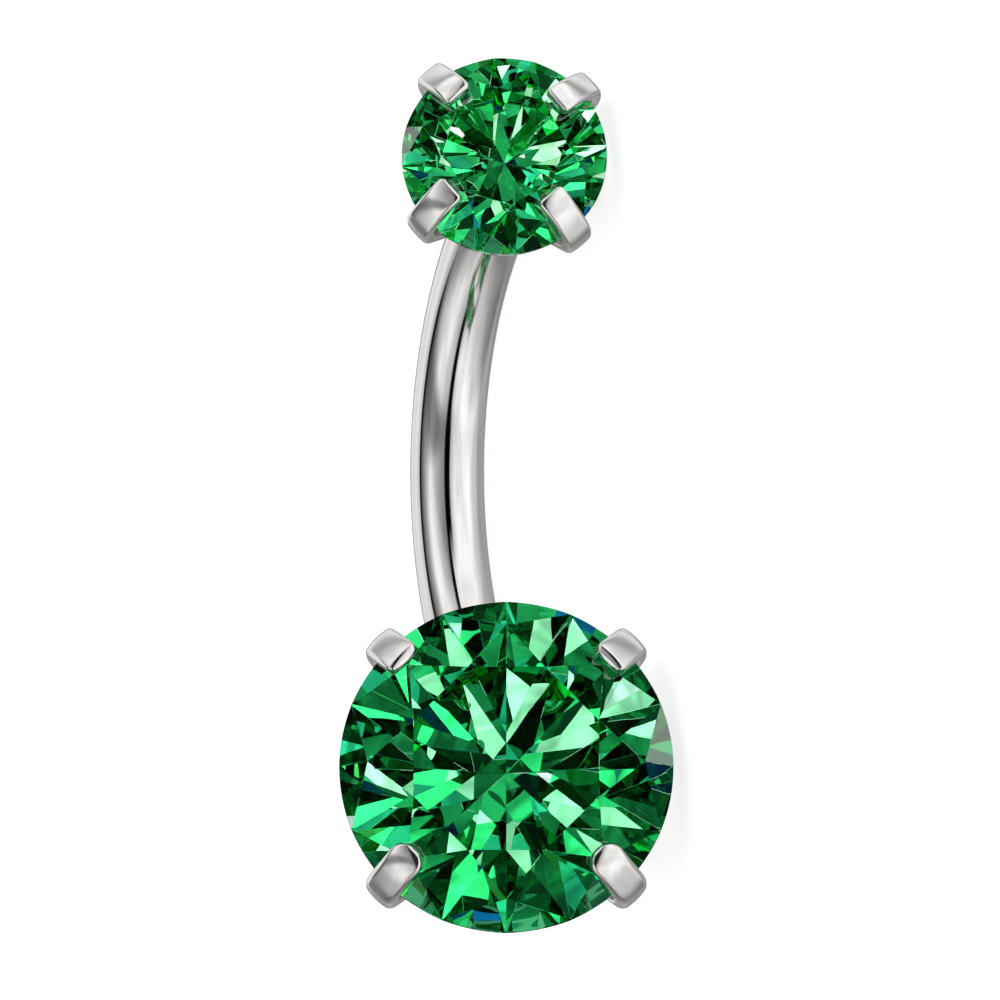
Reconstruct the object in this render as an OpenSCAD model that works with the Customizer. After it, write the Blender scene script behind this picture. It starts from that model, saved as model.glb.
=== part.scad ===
// Navel ring: a curved steel barbell with a fixed four-prong head below and a
// screw-on four-prong head above, each holding a round brilliant stone.
// It is laid out as worn, with X to the right, Y to the rear and Z up, and is
// then turned on to the side on which it rests.

/* [Bar] */
// Diameter of the bar
bar_d = 1.6; // [1.2:0.1:2]
// Radius of the bar's bend, at its centreline
bend_r = 7.6; // [7.2:0.1:9]
// Angle of arc from the bar's belly down to the lower head
arc_below = 53; // [48:0.5:58]
// Angle of arc from the bar's belly up to the bar's upper end
arc_above = 44.5; // [38:0.5:48]
// Turn of the bar's belly from straight behind the stones
belly_turn = 25; // [0:1:35]

/* [Screw end] */
// Diameter of the screw post, drawn without its thread
post_d = 1; // [0.8:0.05:1.2]
// Length of the screw post
post_h = 0.7; // [0.5:0.05:0.75]
// Running clearance round the post
post_gap = 0.05; // [0.03:0.01:0.08]
// Length of the upper head's neck
neck_h = 1.06; // [1.04:0.02:2]
// Gap between the bar's end and the neck
neck_gap = 0.03; // [0.02:0.01:0.05]

/* [Lower head] */
// Diameter of the lower stone
lower_stone_d = 7.16; // [6:0.1:8]
// Clearance between the lower stone's girdle and its prongs
lower_side_gap = 0.03; // [0.03:0.01:0.3]
// Width of a lower prong
lower_prong_w = 0.8; // [0.6:0.02:1]
// Thickness of a lower prong
lower_prong_t = 0.3; // [0.26:0.02:0.4]
// Radius at which the tips of the lower head's upper two prongs end
lower_tip_above = 2.98; // [2.8:0.02:3.2]
// Radius at which the tips of the lower head's lower two prongs end
lower_tip_below = 2.7; // [2.6:0.02:3.2]
// Radius of the lower head's base
lower_base_r = 1.7; // [1.65:0.05:2.2]
// Upward tilt of the lower stone's face
lower_tilt = 10; // [0:1:20]
// Height above the head's axis at which the bar is soldered on
solder_rise = 0.9; // [0.7:0.05:0.95]

/* [Upper head] */
// Diameter of the upper stone
upper_stone_d = 4.41; // [4:0.1:5]
// Clearance between the upper stone's girdle and its prongs
upper_side_gap = 0.035; // [0.03:0.005:0.2]
// Width of an upper prong
upper_prong_w = 0.66; // [0.4:0.02:0.7]
// Thickness of an upper prong
upper_prong_t = 0.27; // [0.22:0.01:0.27]
// Radius at which the upper head's prong tips end
upper_tip = 1.4; // [1.35:0.05:1.9]
// Radius of the upper head's base
upper_base_r = 1.05; // [1:0.05:1.3]
// Upward tilt of the upper stone's face
upper_tilt = 17; // [5:1:25]
// Turn of the upper head's prongs from the diagonals
upper_turn = 4; // [0:1:10]
// Turn of the upper stone in its head
upper_stone_turn = -16.8; // [-22.4:0.1:22.4]

/* [Cut of the stones] */
// Table, as a share of the stone's diameter
table_share = 0.6; // [0.55:0.01:0.65]
// Crown height, as a share of the stone's diameter
crown_share = 0.15; // [0.12:0.01:0.17]
// Pavilion depth, as a share of the stone's diameter
pavilion_share = 0.43; // [0.41:0.005:0.44]
// Girdle thickness, as a share of the stone's diameter
girdle_share = 0.03; // [0.025:0.005:0.04]
// Radius of the star facets' tips, as a share of the stone's radius
star_share = 0.83; // [0.78:0.01:0.86]
// Radius of the lower girdle facets' tips, as a share of the stone's radius
halves_share = 0.23; // [0.18:0.01:0.3]
// Clearance between stone and metal
stone_gap = 0.04; // [0.03:0.01:0.06]

/* [Hidden] */

steel = [0.78, 0.77, 0.76];
emerald = [0.02, 0.62, 0.26];

// Facets round a stone: one kite for each eighth of a turn
EIGHTH = 45;
GIRDLE_STEPS = 4;
ARC_STEPS = 8;
ROUND_STEPS = 96;

// The way down in the worn position that the resting place is sought from
FIRST_DOWN = [0.85, 0.53, 0];
SETTLE_TRIES = 8;

// Outer radius of the rail under the girdle, as a share of the stone's radius
RAIL_SHARE = 0.9;

// How far below the girdle a prong's arm turns upright, as a share of the
// stone's diameter
BEND_DROP = 0.05;

// Outer radii of a prong's bend below the girdle and of its fold over the
// crown, in thicknesses, and the rounding of its tip, in widths
BEND_ROUND = 2;
FOLD_ROUND = 1.6;
TIP_ROUND = 0.25;

// Thickness of a head's base and the chamfer on its back edge
base_t = 0.6;
BASE_CHAMFER = 0.2;

// Directions of the bar's arc
belly = [-sin(belly_turn), cos(belly_turn), 0];
function on_arc(a) = bend_r * (cos(a) * belly + [0, 0, sin(a)]);
function tangent(a) = [-sin(a) * belly[0], -sin(a) * belly[1], cos(a)];

// A head's normal and its upward direction, for a face that is tilted up
function face_normal(tilt) = [0, -cos(tilt), sin(tilt)];
function face_up(tilt) = [0, sin(tilt), cos(tilt)];

// Depth of a head from its girdle plane to its culet and its base
function culet_z(d) = -(girdle_share / 2 + pavilion_share) * d;
function foot_z(d) = culet_z(d) - stone_gap - base_t / 2;
lower_depth = -foot_z(lower_stone_d);
upper_depth = -foot_z(upper_stone_d);

// Diameter over a head's prongs, which stand round the girdle
lower_head_d = lower_stone_d + 2 * (lower_side_gap + lower_prong_t);
upper_head_d = upper_stone_d + 2 * (upper_side_gap + upper_prong_t);

// Where the arc starts and ends, with the lower stone's middle at the origin
solder_at = -lower_depth * face_normal(lower_tilt) + solder_rise * face_up(lower_tilt);
arc_at = solder_at - on_arc(-arc_below);
shoulder_at = arc_at + on_arc(arc_above);
post_axis = tangent(arc_above);
upper_at = shoulder_at + neck_h * post_axis + upper_depth * face_normal(upper_tilt);

// The rail's outer radius and the height of its seat, which follows the pavilion
function rail_r(d) = RAIL_SHARE * d / 2;
function rail_drop() = stone_gap * sqrt(1 + pow(2 * pavilion_share, 2));
function seat_z(d, r) = -girdle_z(d) - rail_drop() - 2 * pavilion_share * (d / 2 - r);

// A prong's bend below the girdle: its outer radius and its centre
function bend_round(t) = BEND_ROUND * t;
function bend_centre(d, head_d, t) = [head_d / 2 - bend_round(t), -BEND_DROP * d];

// A prong's arm stands on the base, one thickness in from its edge, and leans
// out by the angle at which its middle line touches the bend. Its height where
// that line reaches a radius gives the rail's underside.
function arm_lean(d, head_d, t, base_r) =
    let (to = bend_centre(d, head_d, t) - [base_r - t, foot_z(d)])
    atan2(to[0], to[1]) + asin((bend_round(t) - t / 2) / norm(to));
function arm_z(d, head_d, t, base_r, r) =
    foot_z(d) + (r - base_r + t) / tan(arm_lean(d, head_d, t, base_r));

// The ring rests on its right-hand side, on three points: the rim of the lower
// head's rail, a corner of the upper head's right-hand prong, and the bar's bow
// or the rim of the lower head's base. Each is the point of its own curve that
// lies furthest in a given direction.
function unit(v) = v / norm(v);
function rim_point(at, tilt, r, z, way) =
    let (a = face_normal(tilt)) at + z * a + r * unit(way - (way * a) * a);
function prong_point(way) =
    let (
        axis = face_normal(upper_tilt),
        spoke = EIGHTH - upper_turn,
        out = cos(spoke) * [1, 0, 0] + sin(spoke) * face_up(upper_tilt),
        side = sin(spoke) * [1, 0, 0] - cos(spoke) * face_up(upper_tilt),
        at = bend_centre(upper_stone_d, upper_head_d, upper_prong_t)
            + bend_round(upper_prong_t) * unit([way * out, way * axis])
    )
    upper_at + upper_prong_w / 2 * side + at[0] * out + at[1] * axis;
function bar_point(way) = arc_at + on_arc(atan2(way[2], way * belly)) + bar_d / 2 * way;
function base_point(way) =
    rim_point([0, 0, 0], lower_tilt, lower_base_r, -lower_depth - base_t / 2 + BASE_CHAMFER, way);
function rail_point(way) =
    let (z = arm_z(lower_stone_d, lower_head_d, lower_prong_t, lower_base_r, rail_r(lower_stone_d)))
    rim_point([0, 0, 0], lower_tilt, rail_r(lower_stone_d), z, way);
function lower_of(a, b, way) = way * a > way * b ? a : b;
function contacts(way) =
    [lower_of(bar_point(way), base_point(way), way), rail_point(way), prong_point(way)];
function level(p) = unit(cross(p[1] - p[0], p[2] - p[0]));
function settled(way, tries) =
    tries == 0 ? way : settled(let (n = level(contacts(way))) n * way > 0 ? n : -n, tries - 1);
down = settled(FIRST_DOWN, SETTLE_TRIES);
rest_y = unit([0, 1, 0] - down[1] * down);
rest_x = cross(rest_y, -down);

// The floor's depth, and how far the ring reaches along the floor each way
floor_z = max([for (p = contacts(down)) down * p]);
far_x = rest_x * rim_point(upper_at, upper_tilt, upper_stone_d / 2, 0, rest_x);
near_x = rest_x * rim_point([0, 0, 0], lower_tilt, lower_stone_d / 2, 0, -rest_x);
far_y = rest_y * bar_point(rest_y);
near_y = -prong_reach(-rest_y);

// Points of a round brilliant, its girdle plane at z = 0
function ring_point(r, a, z) = [r * cos(a), r * sin(a), z];
function stone_r(d) = d / 2;
function girdle_z(d) = girdle_share * d / 2;
function table_z(d) = girdle_z(d) + crown_share * d;
function kite_slope() = 2 * crown_share / (1 - table_share);
function star_r(d) = star_share * stone_r(d);
function star_z(d) = table_z(d) - kite_slope() * (star_share * cos(EIGHTH / 2) - table_share) * stone_r(d);
function halves_z(d) = culet_z(d) + pavilion_share * d * halves_share * cos(EIGHTH / 2);

// Height at which the plane through a facet's tip and its two girdle corners
// meets the girdle, at an angle from the middle between the two corners
function scallop_z(d, tip_r, tip_z, side, a) =
    let (
        r = stone_r(d),
        half = EIGHTH / 4,
        corner = side * girdle_z(d),
        chord = r * cos(half),
        slope = (tip_z - corner) / (tip_r * cos(half) - chord)
    )
    corner + slope * (r * cos(a) - chord);

module brilliant(d) {
    r = stone_r(d);
    per = GIRDLE_STEPS;
    count = 16 * per;
    half = EIGHTH / 2;
    step = half / per;
    table = [for (k = [0:7]) ring_point(table_share * r, half + k * EIGHTH, table_z(d))];
    stars = [for (k = [0:7]) ring_point(star_r(d), k * EIGHTH, star_z(d))];
    upper = [for (j = [0:count - 1]) ring_point(r, j * step,
        scallop_z(d, star_r(d), star_z(d), 1, (j % per) * step - half / 2))];
    lower = [for (j = [0:count - 1]) ring_point(r, j * step,
        scallop_z(d, halves_share * r, halves_z(d), -1, (j % per) * step - half / 2))];
    halves = [for (k = [0:7]) ring_point(halves_share * r, k * EIGHTH, halves_z(d))];
    culet = [[0, 0, culet_z(d)]];
    // Where each list's points start among all the points
    s0 = len(table);
    u0 = s0 + len(stars);
    l0 = u0 + count;
    h0 = l0 + count;
    c0 = h0 + len(halves);
    // Girdle corner i steps round from the middle of eighth k
    function at(k, i) = (2 * k * per + i + count) % count;
    polyhedron(
        points = concat(table, stars, upper, lower, halves, culet),
        faces = concat(
            [[for (k = [7:-1:0]) k]],
            [for (k = [0:7]) [k, s0 + k, (k + 7) % 8]],
            [for (k = [0:7]) [k, s0 + (k + 1) % 8, u0 + at(k, per), s0 + k]],
            [for (k = [0:7]) concat([s0 + k], [for (i = [per:-1:0]) u0 + at(k, i)])],
            [for (k = [0:7]) concat([s0 + k], [for (i = [0:-1:-per]) u0 + at(k, i)])],
            [for (j = [0:count - 1]) [u0 + j, u0 + (j + 1) % count, l0 + (j + 1) % count, l0 + j]],
            [for (k = [0:7]) concat([h0 + k], [for (i = [0:per]) l0 + at(k, i)])],
            [for (k = [0:7]) concat([h0 + k], [for (i = [-per:0]) l0 + at(k, i)])],
            [for (k = [0:7]) [h0 + k, l0 + at(k, per), h0 + (k + 1) % 8, c0]]
        )
    );
}

// Corner of a bent strip, as points on an arc round a centre
function arc_points(centre, r, from, to) =
    [for (i = [0:ARC_STEPS]) let (a = from + (to - from) * i / ARC_STEPS) centre + r * [cos(a), sin(a)]];

// Slopes of the crown along a line through a star facet's tip, below the tip and
// above it, and the height of the surface at a radius on that line
function outer_slope(d) = (star_z(d) - girdle_z(d)) / (stone_r(d) - star_r(d));
function star_slope(d) =
    (table_z(d) - star_z(d)) / (star_r(d) - table_share * stone_r(d) * cos(EIGHTH / 2));
function crown_z(d, r) = star_z(d) + (star_r(d) - r) * (r > star_r(d) ? outer_slope(d) : star_slope(d));

// Side outline of a prong in radius and height: an arm that rises from the base
// towards the girdle, bends upright past it and folds down over the crown
function prong_outline(d, head_d, t, base_r, tip_r) =
    let (
        outer = head_d / 2,
        lean = arm_lean(d, head_d, t, base_r),
        fold = atan(outer_slope(d)),
        tip_fold = tip_r < star_r(d) ? atan(star_slope(d)) : fold,
        lift = stone_gap / cos(fold),
        round_r = bend_round(t),
        fold_r = FOLD_ROUND * t,
        bend_c = bend_centre(d, head_d, t),
        // The fold's arc touches the head's outer radius and the crown's slope
        fold_z = girdle_z(d) + lift + (stone_r(d) - outer + fold_r) * outer_slope(d),
        fold_c = [outer - fold_r, fold_z - (fold_r - t) / cos(fold)],
        // The arm's two faces run from the bend down to the middle of the base
        bend_out = bend_c + round_r * [cos(lean), -sin(lean)],
        bend_in = bend_c + (round_r - t) * [cos(lean), -sin(lean)],
        foot_out = [bend_out[0] - (bend_out[1] - foot_z(d)) * tan(lean), foot_z(d)],
        foot_in = [bend_in[0] - (bend_in[1] - foot_z(d)) * tan(lean), foot_z(d)],
        // Where the strip runs over a star facet's tip it bends once more
        tip_under = [tip_r, crown_z(d, tip_r) + lift],
        tip_over = tip_under + t * [sin(tip_fold), cos(tip_fold)],
        star_under = [star_r(d), star_z(d) + lift],
        half = (fold + tip_fold) / 2,
        star_over = star_under + t / cos(fold - half) * [sin(half), cos(half)]
    )
    concat(
        [foot_in, foot_out],
        arc_points(bend_c, round_r, -lean, 0),
        arc_points(fold_c, fold_r, 0, 90 - fold),
        tip_r < star_r(d) ? [star_over, tip_over, tip_under, star_under] : [tip_over, tip_under],
        arc_points(fold_c, fold_r - t, 90 - fold, 0),
        arc_points(bend_c, round_r - t, 0, -lean)
    );

// How far the lower head's prongs reach in a direction
function prong_reach(way) =
    max([for (k = [0:3], edge = [-1, 1])
        let (
            a = (2 * k + 1) * EIGHTH,
            out = cos(a) * [1, 0, 0] + sin(a) * face_up(lower_tilt),
            side = sin(a) * [1, 0, 0] - cos(a) * face_up(lower_tilt)
        )
        for (p = prong_outline(lower_stone_d, lower_head_d, lower_prong_t, lower_base_r,
                k < 2 ? lower_tip_above : lower_tip_below))
            way * (p[0] * out + p[1] * face_normal(lower_tilt) + edge * lower_prong_w / 2 * side)]);

// Plan of a prong's tip, its two inner corners rounded
function tip_plan(tip_r, outer, w) =
    let (round_r = TIP_ROUND * w, c = [tip_r + round_r, w / 2 - round_r])
    concat(
        [[outer, -w / 2], [outer, w / 2]],
        arc_points(c, round_r, 90, 180),
        arc_points([c[0], -c[1]], round_r, 180, 270)
    );

// One prong: the whole strip below the girdle, and a tip with rounded corners
module prong(d, head_d, w, t, base_r, tip_r) {
    intersection() {
        rotate([90, 0, 0])
            linear_extrude(height = w, center = true)
                polygon(prong_outline(d, head_d, t, base_r, tip_r));
        union() {
            translate([0, -w, -d]) cube([head_d, 2 * w, d]);
            linear_extrude(height = d) polygon(tip_plan(tip_r, head_d, w));
        }
    }
}

// Rail under the girdle that joins the four arms: its seat follows the pavilion
// and its underside is level with the middle of the arms
module seat_rail(d, head_d, t, base_r) {
    out_r = rail_r(d);
    in_r = out_r - t;
    under = arm_z(d, head_d, t, base_r, out_r);
    rotate_extrude($fn = ROUND_STEPS)
        polygon([[in_r, seat_z(d, in_r)], [in_r, under], [out_r, under], [out_r, seat_z(d, out_r)]]);
}

// Base under the culet: a disc with a chamfered back edge
module head_base(d, base_r) {
    top = culet_z(d) - stone_gap;
    rotate_extrude($fn = ROUND_STEPS)
        polygon([[0, top - base_t], [base_r - BASE_CHAMFER, top - base_t],
                 [base_r, top - base_t + BASE_CHAMFER], [base_r, top], [0, top]]);
}

// A whole four-prong basket; the two prongs above the middle have their own tips
module basket(d, head_d, w, t, tips, base_r, turn) {
    for (k = [0:3])
        rotate([0, 0, (2 * k + 1) * EIGHTH - turn])
            prong(d, head_d, w, t, base_r, k < 2 ? tips[0] : tips[1]);
    seat_rail(d, head_d, t, base_r);
    head_base(d, base_r);
}

// Puts a head's own frame, Z along the stone's axis and Y up, in its place
module face_at(at, tilt) {
    translate(at) rotate([90 - tilt, 0, 0]) children();
}

// Puts Z along the screw post, from the bar's upper end
module post_at() {
    translate(shoulder_at)
        rotate([0, 0, belly_turn])
            rotate([arc_above, 0, 0])
                children();
}

module curved_bar() {
    // The arc lies in the upright plane of the belly: rotate_extrude's X is
    // the belly's direction and its Y is up
    translate(arc_at)
        rotate([90, 0, 90 + belly_turn])
            rotate_extrude(angle = arc_below + arc_above, start = -arc_below, $fn = 2 * ROUND_STEPS)
                translate([bend_r, 0])
                    circle(d = bar_d, $fn = ROUND_STEPS);
}

module bar_with_lower_setting() {
    color(steel) placed() {
        curved_bar();
        post_at() translate([0, 0, -post_d / 4])
            cylinder(h = post_h + post_d / 4, d = post_d, $fn = ROUND_STEPS);
        face_at([0, 0, 0], lower_tilt)
            basket(lower_stone_d, lower_head_d, lower_prong_w, lower_prong_t,
                [lower_tip_above, lower_tip_below], lower_base_r, 0);
    }
}

module lower_stone() {
    color(emerald) placed()
        face_at([0, 0, 0], lower_tilt) brilliant(lower_stone_d);
}

// Neck of the upper head, as wide as the bar; it ends inside the head's base
module neck() {
    difference() {
        post_at() translate([0, 0, neck_gap])
            cylinder(h = neck_h + bar_d / 2, d = bar_d, $fn = ROUND_STEPS);
        face_at(upper_at, upper_tilt)
            translate([-bar_d, -bar_d, -upper_depth])
                cube(2 * bar_d);
    }
}

module upper_setting() {
    color(steel) placed() difference() {
        union() {
            neck();
            face_at(upper_at, upper_tilt)
                basket(upper_stone_d, upper_head_d, upper_prong_w, upper_prong_t,
                    [upper_tip, upper_tip], upper_base_r, upper_turn);
        }
        post_at() translate([0, 0, -neck_gap])
            cylinder(h = post_h + 3 * neck_gap, d = post_d + 2 * post_gap, $fn = ROUND_STEPS);
    }
}

module upper_stone() {
    color(emerald) placed()
        face_at(upper_at, upper_tilt)
            rotate([0, 0, upper_stone_turn]) brilliant(upper_stone_d);
}

// Turns the ring from the way it is worn to the way it rests
module placed() {
    translate([-(far_x + near_x) / 2, -(far_y + near_y) / 2, floor_z])
        multmatrix([concat(rest_x, 0), concat(rest_y, 0), concat(-down, 0), [0, 0, 0, 1]])
            children();
}

bar_with_lower_setting();
lower_stone();
upper_setting();
upper_stone();
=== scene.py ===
"""A navel ring in polished surgical steel with two green round brilliants.

The ring is worked out in millimetres as it is worn, with X to the right, Y to
the rear and Z up and the lower stone's middle at the origin. It is then turned
on to the side on which it rests, in metres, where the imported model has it.
"""

import logging
from dataclasses import dataclass
from enum import Enum

import bpy
import numpy as np
from mathutils import Matrix


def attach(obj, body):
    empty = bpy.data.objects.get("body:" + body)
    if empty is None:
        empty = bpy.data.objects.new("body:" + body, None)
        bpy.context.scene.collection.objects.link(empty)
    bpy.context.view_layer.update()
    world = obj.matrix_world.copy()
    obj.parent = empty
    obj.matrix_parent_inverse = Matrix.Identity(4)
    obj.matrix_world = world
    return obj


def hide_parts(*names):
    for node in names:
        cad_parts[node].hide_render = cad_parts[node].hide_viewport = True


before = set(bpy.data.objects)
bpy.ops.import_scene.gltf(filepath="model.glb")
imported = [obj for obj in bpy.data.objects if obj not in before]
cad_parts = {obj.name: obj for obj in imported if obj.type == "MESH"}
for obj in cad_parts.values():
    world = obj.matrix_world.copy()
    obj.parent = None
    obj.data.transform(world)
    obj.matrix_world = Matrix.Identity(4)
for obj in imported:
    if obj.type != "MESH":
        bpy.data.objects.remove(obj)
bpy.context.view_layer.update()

Array = np.ndarray
Mesh = tuple[Array, list]
Span = tuple[float, float]
Triple = tuple[float, float, float]
Row = tuple[Span, ...]
Fade = tuple[float, float, float, float]
Stops = tuple[tuple[float, Triple], ...]
Material = bpy.types.Material
Tree = bpy.types.NodeTree
Socket = bpy.types.NodeSocket
log = logging.getLogger("navel_ring")

# A Map Range node's inputs, in the order in which a Fade gives them
FADE = ("From Min", "From Max", "To Min", "To Max")

MM = 0.001

# The way that the ring rests: the rows are the floor's X and Y and straight up
REST_AXES = np.array([[-0.0321783, 0.0, 0.999482],
                      [-0.541477, 0.840535, -0.0174329],
                      [-0.840099, -0.541758, -0.027047]])
REST_SHIFT = np.array([-5.83874, -2.13292, 3.36925])

# The bar
BAR_D = 1.6
BEND_R = 7.6
ARC_BELOW = np.radians(53.0)
ARC_ABOVE = np.radians(44.5)
BELLY_TURN = np.radians(25.0)
ARC_AT = np.array([1.93297, -0.516353, 6.34364])

# The screw end
POST_D = 1.0
POST_H = 0.7
POST_GAP = 0.05
NECK_H = 1.06
NECK_GAP = 0.03
THREAD_PITCH = 0.2
THREAD_DEPTH = 0.07

# The metal of a head
STONE_GAP = 0.04
BASE_T = 0.6
BASE_CHAMFER = 0.2
RAIL_SHARE = 0.9
BEND_DROP = 0.05
BEND_ROUND = 2.0
FOLD_ROUND = 1.6

EIGHTH = np.radians(45.0)

# In degrees, the angle past which an edge of the metal stays sharp
SHARP_EDGE = 60.0

# The radius at which a turned profile stops short of its axis, for a pole to close
POLE_R = 0.02

# The photograph's frame
PIXELS_PER_MM = 46.7
FRAME_PIXELS = 1000
FRAME_CENTRE = np.array([-0.1358, 0.0, 5.7246])
LENS_MM = 1000.0
SENSOR_MM = 36.0


class Body(Enum):
    """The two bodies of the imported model."""

    RING = "ring"
    UPPER_HEAD = "upper_head"


class Slot(Enum):
    """The record's material slots."""

    STEEL = "steel"
    STONE = "green_stone"


def to_rest(worn: Array) -> Array:
    """Points of the worn ring, in mm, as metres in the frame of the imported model."""
    return (worn @ REST_AXES.T + REST_SHIFT) * MM


def rest_direction(worn: Array) -> Array:
    """Turns directions of the worn ring as `to_rest` turns its points."""
    return np.asarray(worn) @ REST_AXES.T


@dataclass(frozen=True)
class Place:
    """Where a sub-assembly's own axes lie on the worn ring."""

    origin: Array
    axes: Array

    def metres(self, points: Array) -> Array:
        """Points of the sub-assembly, in mm, as metres in the resting frame."""
        return to_rest(self.origin + points @ self.axes)


# Meshes

def skin(rings: Array, start: Array, end: Array) -> Mesh:
    """Closes a stack of rings with a pole at each end.

    Each ring runs anticlockwise about the way in which the rings advance, so
    the quads between ring i and i + 1 and the two fans face outwards.

    Args:
        rings: points of shape (rings, points, 3).
        start: the pole before the first ring.
        end: the pole after the last ring.

    Returns:
        The points and the faces.
    """
    rows, cols, _ = rings.shape
    points = np.concatenate([rings.reshape(-1, 3), start[None], end[None]])
    here = np.arange(rows * cols).reshape(rows, cols)
    ahead = np.roll(here, -1, axis=1)
    quads = np.stack([here[:-1], ahead[:-1], ahead[1:], here[1:]], axis=-1).reshape(-1, 4)
    pole = np.full(cols, rows * cols)
    first = np.stack([pole, ahead[0], here[0]], axis=-1)
    last = np.stack([here[-1], ahead[-1], pole + 1], axis=-1)
    return points, quads.tolist() + first.tolist() + last.tolist()


def hoop(rings: Array) -> Mesh:
    """Joins rings into a closed hoop, the last to the first, outwards as in `skin`."""
    rows, cols, _ = rings.shape
    here = np.arange(rows * cols).reshape(rows, cols)
    ahead = np.roll(here, -1, axis=1)
    quads = np.stack([here, ahead, np.roll(ahead, -1, axis=0), np.roll(here, -1, axis=0)], axis=-1)
    return rings.reshape(-1, 3), quads.reshape(-1, 4).tolist()


def turned(profile: Array, steps: int) -> Array:
    """Turns a profile of radii and heights about Z: x = r cos a, y = r sin a."""
    a = np.linspace(0, 2 * np.pi, steps, endpoint=False)
    r, z = profile[:, :1], profile[:, 1:]
    return np.stack([r * np.cos(a), r * np.sin(a), z + 0 * a], axis=-1)


def spun(points: Array, angle: float) -> Array:
    """Turns points about Z: x' = x cos a - y sin a, y' = x sin a + y cos a."""
    c, s = np.cos(angle), np.sin(angle)
    return points @ np.array([[c, s, 0.0], [-s, c, 0.0], [0.0, 0.0, 1.0]])


def on_axis(z: float) -> Array:
    """The point on Z at a height."""
    return np.array([0.0, 0.0, z])


def quarter(r: float, d: Array) -> Array:
    """A quarter circle's height at a distance d from its foot: sqrt(r^2 - (r - d)^2)."""
    return np.sqrt(np.clip(r ** 2 - (r - d) ** 2, 0, None))


def run_of(line: Array) -> Array:
    """How far along a line each of its points lies."""
    return np.append(0, np.cumsum(np.linalg.norm(np.diff(line, axis=0), axis=1)))


def along(line: Array, run: Array, at: Array) -> Array:
    """A flat line's points at given distances along it, by straight spans."""
    return np.stack([np.interp(at, run, line[:, i]) for i in (0, 1)], axis=1)


def rounded(corners: Array, radii: Array, steps: int, closed: bool) -> Array:
    """Rounds the corners of an outline.

    Each corner becomes a curve p = (1-u)^2 a + 2 u (1-u) c + u^2 b, where a and b
    lie on its two sides at the rounding's distance from the corner c.

    Args:
        corners: the outline's corners, of shape (corners, 2).
        radii: how far from each corner its rounding starts.
        steps: spans of each rounding.
        closed: whether the last corner joins the first. If not, the two ends
            have a radius of 0 and are kept as single points.

    Returns:
        The outline's points.
    """
    before, after = np.roll(corners, 1, axis=0), np.roll(corners, -1, axis=0)
    if not closed:
        before[0], after[-1] = corners[0] * 2 - corners[1], corners[-1] * 2 - corners[-2]
    back = (before - corners) / np.linalg.norm(before - corners, axis=1, keepdims=True)
    on = (after - corners) / np.linalg.norm(after - corners, axis=1, keepdims=True)
    u = np.linspace(0, 1, steps + 1)[None, :, None]
    a = (corners + back * radii[:, None])[:, None]
    b = (corners + on * radii[:, None])[:, None]
    points = (1 - u) ** 2 * a + 2 * u * (1 - u) * corners[:, None] + u ** 2 * b
    keep = np.ones(points.shape[:2], bool)
    keep[radii == 0, 1:] = False
    return points[keep]


def place_mesh(name: str, points: Array, faces: list, smooth: float | None) -> bpy.types.Object:
    """Makes an object at the origin whose place is in its mesh.

    Args:
        name: the piece's name.
        points: its points in metres.
        faces: its faces, as lists of indices.
        smooth: edges sharper than this angle in degrees stay sharp, or None
            for flat faces.

    Returns:
        The object, in the scene.
    """
    mesh = bpy.data.meshes.new(name)
    mesh.from_pydata(points.tolist(), [], faces)
    mesh.validate()
    if smooth is not None:
        mesh.shade_smooth()
        mesh.set_sharp_from_angle(angle=np.radians(smooth))
    piece = bpy.data.objects.new(name, mesh)
    bpy.context.scene.collection.objects.link(piece)
    return piece


def finish_piece(piece: bpy.types.Object, material: Material, body: Body,
                 node: str) -> None:
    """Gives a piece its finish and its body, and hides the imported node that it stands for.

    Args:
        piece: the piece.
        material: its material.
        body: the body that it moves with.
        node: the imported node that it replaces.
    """
    piece.data.materials.append(material)
    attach(piece, body.value)
    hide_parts(node)
    log.info("%s: %d points, on %s", piece.name, len(piece.data.vertices), body.value)


def steel_piece(name: str, points: Array, faces: list, material: Material,
                body: Body, node: str) -> None:
    """Makes a smooth steel piece from points in metres, and finishes it."""
    piece = place_mesh(name, points, faces, SHARP_EDGE)
    finish_piece(piece, material, body, node)


# Materials

def linear(colour: str) -> tuple[float, float, float, float]:
    """An sRGB hex colour as linear RGBA, with an alpha of 1."""
    srgb = np.array([int(colour[i:i + 2], 16) for i in (1, 3, 5)]) / 255
    light = np.where(srgb <= 0.04045, srgb / 12.92, ((srgb + 0.055) / 1.055) ** 2.4)
    return (*light.tolist(), 1.0)


def add_node(tree: Tree, kind: str, inputs: dict | None = None,
             **settings: object) -> bpy.types.Node:
    """Adds a node, sets it and links it.

    Args:
        tree: the node tree.
        kind: the node's type, without the ShaderNode that all begin with.
        inputs: values or output sockets for its inputs, by name or number.
        **settings: the node's own settings.

    Returns:
        The node.
    """
    node = tree.nodes.new(f"ShaderNode{kind}")
    for key, value in settings.items():
        setattr(node, key, value)
    for key, value in (inputs or {}).items():
        if isinstance(value, Socket):
            tree.links.new(value, node.inputs[key])
        else:
            node.inputs[key].default_value = value
    return node


def set_stops(ramp: bpy.types.ColorRamp, stops: Stops) -> None:
    """Gives a new colour ramp its stops, each a position and a colour."""
    while len(ramp.elements) < len(stops):
        ramp.elements.new(0.5)
    for mark, (at, colour) in zip(ramp.elements, stops):
        mark.position, mark.color = at, (*colour, 1.0)


def new_material(name: str) -> Material:
    """An empty node material."""
    material = bpy.data.materials.new(name)
    material.use_nodes = True
    material.node_tree.nodes.clear()
    return material


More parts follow.
